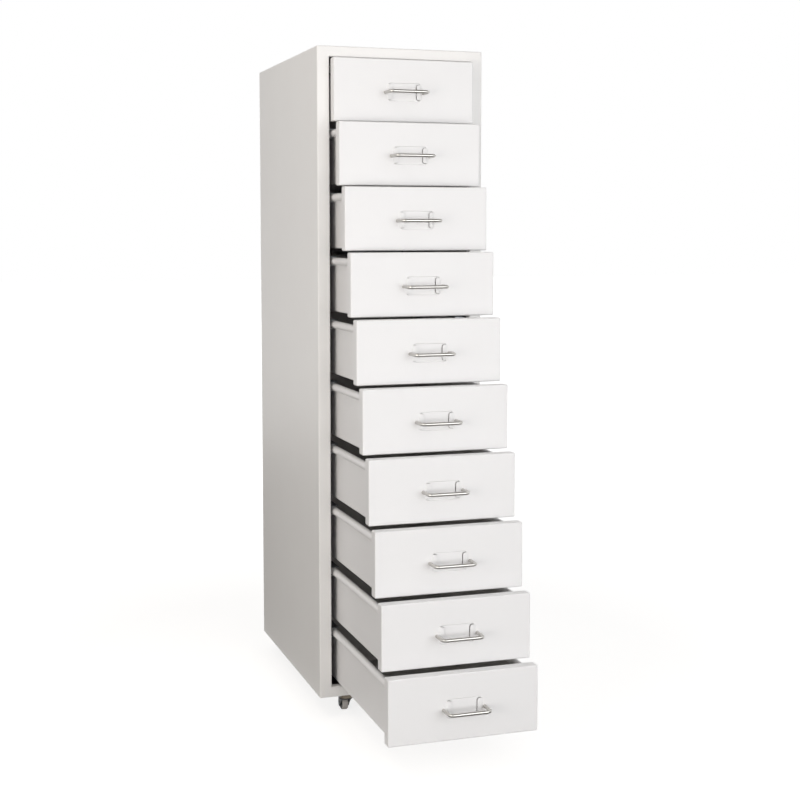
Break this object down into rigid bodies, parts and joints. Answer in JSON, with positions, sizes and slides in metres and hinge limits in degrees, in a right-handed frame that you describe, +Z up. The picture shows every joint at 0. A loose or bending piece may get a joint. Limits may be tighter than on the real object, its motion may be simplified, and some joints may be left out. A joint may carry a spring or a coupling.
{
  "type": "multi-drawer storage cabinet",
  "caption": "Tall narrow steel cabinet on castors: equal drawers with label seats and bail handles, drawn out like stairs, each running on its tray's rolled edges.",
  "frame": {"origin": "on the floor, in the middle of the body in plan; the castor wheels stand on Z = 0", "axes": "+X to the right seen from the front, +Y to the back (the drawers open towards -Y), +Z up"},
  "size_m": [0.28, 0.7428, 1.094],
  "materials": {
    "white_powder_coat": "fine satin powder coat on sheet steel",
    "drawer_powder_coat": "fine satin powder coat on sheet steel",
    "bright_steel_rod": "bright nickel-chrome plated rod",
    "zinc_plated_steel": "zinc plated, satin",
    "black_zinc_steel": "black passivated zinc, satin",
    "grey_nylon": "moulded grey nylon, worn matt tread"
  },
  "bodies": {
    "cabinet": {"left_side_panel": "white_powder_coat", "right_side_panel": "white_powder_coat", "top_panel": "white_powder_coat", "base_panel": "white_powder_coat", "back_panel": "white_powder_coat", "panel_screws": "zinc_plated_steel", "left_runners": "zinc_plated_steel", "right_runners": "zinc_plated_steel", "castor_plates": "zinc_plated_steel", "castor_screws": "zinc_plated_steel"},
    "drawer_01": {"drawer_01_tray": "drawer_powder_coat", "drawer_01_front": "drawer_powder_coat", "drawer_01_handle": "bright_steel_rod", "drawer_01_handle_screws": "zinc_plated_steel"},
    "drawer_02": {"drawer_02_tray": "drawer_powder_coat", "drawer_02_front": "drawer_powder_coat", "drawer_02_handle": "bright_steel_rod", "drawer_02_handle_screws": "zinc_plated_steel"},
    "drawer_03": {"drawer_03_tray": "drawer_powder_coat", "drawer_03_front": "drawer_powder_coat", "drawer_03_handle": "bright_steel_rod", "drawer_03_handle_screws": "zinc_plated_steel"},
    "drawer_04": {"drawer_04_tray": "drawer_powder_coat", "drawer_04_front": "drawer_powder_coat", "drawer_04_handle": "bright_steel_rod", "drawer_04_handle_screws": "zinc_plated_steel"},
    "drawer_05": {"drawer_05_tray": "drawer_powder_coat", "drawer_05_front": "drawer_powder_coat", "drawer_05_handle": "bright_steel_rod", "drawer_05_handle_screws": "zinc_plated_steel"},
    "drawer_06": {"drawer_06_tray": "drawer_powder_coat", "drawer_06_front": "drawer_powder_coat", "drawer_06_handle": "bright_steel_rod", "drawer_06_handle_screws": "zinc_plated_steel"},
    "drawer_07": {"drawer_07_tray": "drawer_powder_coat", "drawer_07_front": "drawer_powder_coat", "drawer_07_handle": "bright_steel_rod", "drawer_07_handle_screws": "zinc_plated_steel"},
    "drawer_08": {"drawer_08_tray": "drawer_powder_coat", "drawer_08_front": "drawer_powder_coat", "drawer_08_handle": "bright_steel_rod", "drawer_08_handle_screws": "zinc_plated_steel"},
    "drawer_09": {"drawer_09_tray": "drawer_powder_coat", "drawer_09_front": "drawer_powder_coat", "drawer_09_handle": "bright_steel_rod", "drawer_09_handle_screws": "zinc_plated_steel"},
    "drawer_10": {"drawer_10_tray": "drawer_powder_coat", "drawer_10_front": "drawer_powder_coat", "drawer_10_handle": "bright_steel_rod", "drawer_10_handle_screws": "zinc_plated_steel"},
    "castor_front_left_fork": {"castor_front_left_fork": "black_zinc_steel"},
    "castor_front_left_wheel": {"castor_front_left_wheel": "grey_nylon"},
    "castor_front_right_fork": {"castor_front_right_fork": "black_zinc_steel"},
    "castor_front_right_wheel": {"castor_front_right_wheel": "grey_nylon"},
    "castor_rear_left_fork": {"castor_rear_left_fork": "black_zinc_steel"},
    "castor_rear_left_wheel": {"castor_rear_left_wheel": "grey_nylon"},
    "castor_rear_right_fork": {"castor_rear_right_fork": "black_zinc_steel"},
    "castor_rear_right_wheel": {"castor_rear_right_wheel": "grey_nylon"}
  },
  "joints": [
    {"name": "drawer_01_slide", "type": "slide", "parent": "cabinet", "child": "drawer_01", "axis": [0, -1, 0], "range_m": [-0.018, 0.302]},
    {"name": "drawer_02_slide", "type": "slide", "parent": "cabinet", "child": "drawer_02", "axis": [0, -1, 0], "range_m": [-0.049, 0.271]},
    {"name": "drawer_03_slide", "type": "slide", "parent": "cabinet", "child": "drawer_03", "axis": [0, -1, 0], "range_m": [-0.08, 0.24]},
    {"name": "drawer_04_slide", "type": "slide", "parent": "cabinet", "child": "drawer_04", "axis": [0, -1, 0], "range_m": [-0.111, 0.209]},
    {"name": "drawer_05_slide", "type": "slide", "parent": "cabinet", "child": "drawer_05", "axis": [0, -1, 0], "range_m": [-0.142, 0.178]},
    {"name": "drawer_06_slide", "type": "slide", "parent": "cabinet", "child": "drawer_06", "axis": [0, -1, 0], "range_m": [-0.173, 0.147]},
    {"name": "drawer_07_slide", "type": "slide", "parent": "cabinet", "child": "drawer_07", "axis": [0, -1, 0], "range_m": [-0.204, 0.116]},
    {"name": "drawer_08_slide", "type": "slide", "parent": "cabinet", "child": "drawer_08", "axis": [0, -1, 0], "range_m": [-0.235, 0.085]},
    {"name": "drawer_09_slide", "type": "slide", "parent": "cabinet", "child": "drawer_09", "axis": [0, -1, 0], "range_m": [-0.266, 0.054]},
    {"name": "drawer_10_slide", "type": "slide", "parent": "cabinet", "child": "drawer_10", "axis": [0, -1, 0], "range_m": [-0.297, 0.023]},
    {"name": "castor_front_left_swivel", "type": "hinge", "parent": "cabinet", "child": "castor_front_left_fork", "pos_m": [-0.088, -0.179, 0.025], "axis": [0, 0, 1], "continuous": true},
    {"name": "castor_front_left_roll", "type": "hinge", "parent": "castor_front_left_fork", "child": "castor_front_left_wheel", "pos_m": [-0.088, -0.167, 0.011], "axis": [1, 0, 0], "continuous": true},
    {"name": "castor_front_right_swivel", "type": "hinge", "parent": "cabinet", "child": "castor_front_right_fork", "pos_m": [0.088, -0.179, 0.025], "axis": [0, 0, 1], "continuous": true},
    {"name": "castor_front_right_roll", "type": "hinge", "parent": "castor_front_right_fork", "child": "castor_front_right_wheel", "pos_m": [0.088, -0.167, 0.011], "axis": [1, 0, 0], "continuous": true},
    {"name": "castor_rear_left_swivel", "type": "hinge", "parent": "cabinet", "child": "castor_rear_left_fork", "pos_m": [-0.088, 0.179, 0.025], "axis": [0, 0, 1], "continuous": true},
    {"name": "castor_rear_left_roll", "type": "hinge", "parent": "castor_rear_left_fork", "child": "castor_rear_left_wheel", "pos_m": [-0.088, 0.191, 0.011], "axis": [1, 0, 0], "continuous": true},
    {"name": "castor_rear_right_swivel", "type": "hinge", "parent": "cabinet", "child": "castor_rear_right_fork", "pos_m": [0.088, 0.179, 0.025], "axis": [0, 0, 1], "continuous": true},
    {"name": "castor_rear_right_roll", "type": "hinge", "parent": "castor_rear_right_fork", "child": "castor_rear_right_wheel", "pos_m": [0.088, 0.191, 0.011], "axis": [1, 0, 0], "continuous": true}
  ]
}
